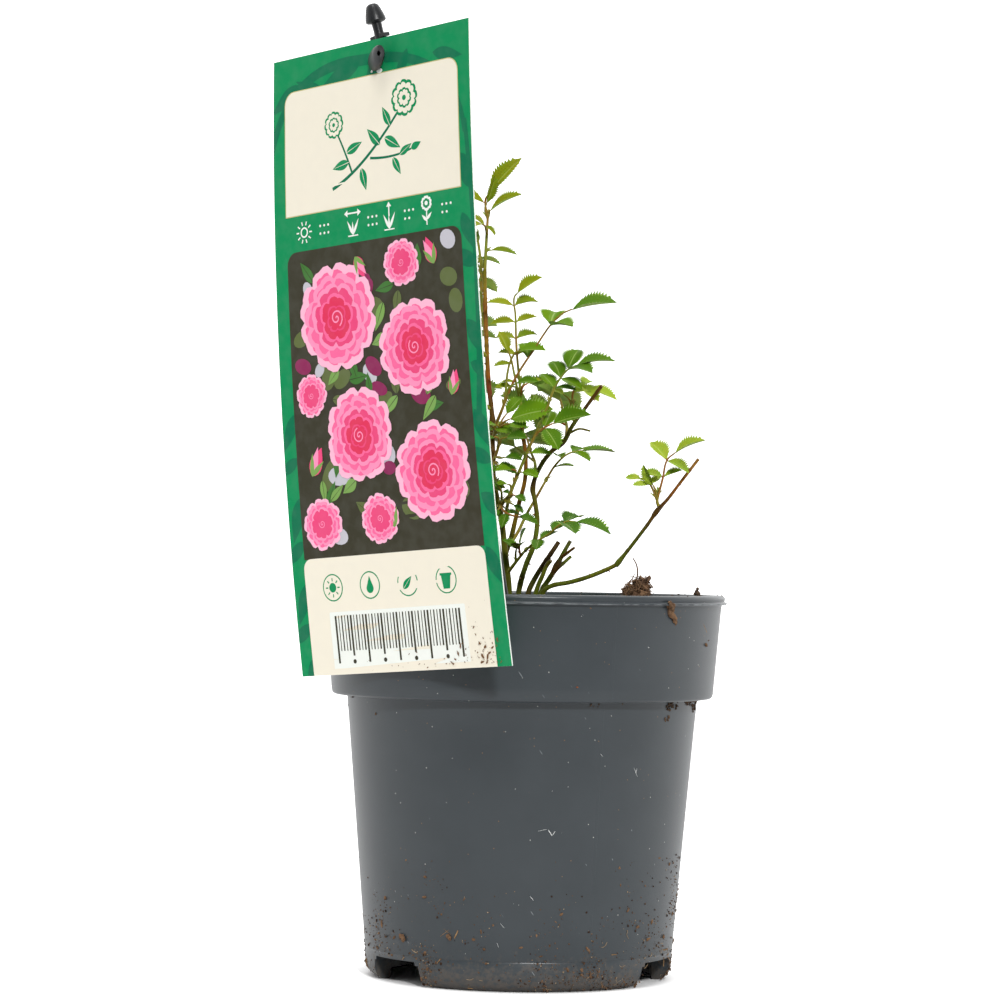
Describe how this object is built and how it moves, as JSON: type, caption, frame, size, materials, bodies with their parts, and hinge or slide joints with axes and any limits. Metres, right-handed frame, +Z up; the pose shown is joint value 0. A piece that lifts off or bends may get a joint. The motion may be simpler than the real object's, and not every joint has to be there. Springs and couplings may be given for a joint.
{
  "type": "potted rose bush",
  "caption": "Young rose bush with thorny canes, pruned stubs and compound leaves, growing in a round nursery pot with a hanging picture label on a stake.",
  "frame": {"origin": "on the pot's axis, in the level plane that its heel ring stands on", "axes": "+Z up the pot's axis; the front, where the label hangs, towards -Y; +X to the right"},
  "size_m": [0.1466, 0.1494, 0.3042],
  "materials": {
    "pot": "semi-matt slate grey moulded plastic",
    "compost": "rough dark peat with bark fibre",
    "clod": "rough brown fibre",
    "card": "printed plastic card, satin",
    "holder": "black moulded plastic",
    "cane": "green to reddish-brown bark with prickles",
    "leaf": "satin green leaf"
  },
  "bodies": {
    "root": {"bough_right_high": "cane", "bough_right_low": "cane", "cane_back_left": "cane", "cane_centre": "cane", "cane_left": "cane", "cane_left_low": "cane", "cane_tall": "cane", "compost": "compost", "label_card": "card", "label_holder": "holder", "leaves_back": "leaf", "leaves_back_side": "leaf", "leaves_back_tip": "leaf", "leaves_bough_right": "leaf", "leaves_centre": "leaf", "leaves_inner_foot": "leaf", "leaves_inner_low": "leaf", "leaves_inner_upper": "leaf", "leaves_left_back": "leaf", "leaves_left_front": "leaf", "leaves_left_low": "leaf", "leaves_left_middle": "leaf", "leaves_left_thin": "leaf", "leaves_left_tip": "leaf", "leaves_left_upper": "leaf", "leaves_low_right": "leaf", "leaves_middle": "leaf", "leaves_right_back": "leaf", "leaves_right_spray": "leaf", "leaves_right_upper": "leaf", "leaves_tall_young": "leaf", "pot": "pot", "root_clod": "clod", "stub_back": "cane", "stub_forked": "cane", "stub_front": "cane"}
  },
  "joints": []
}
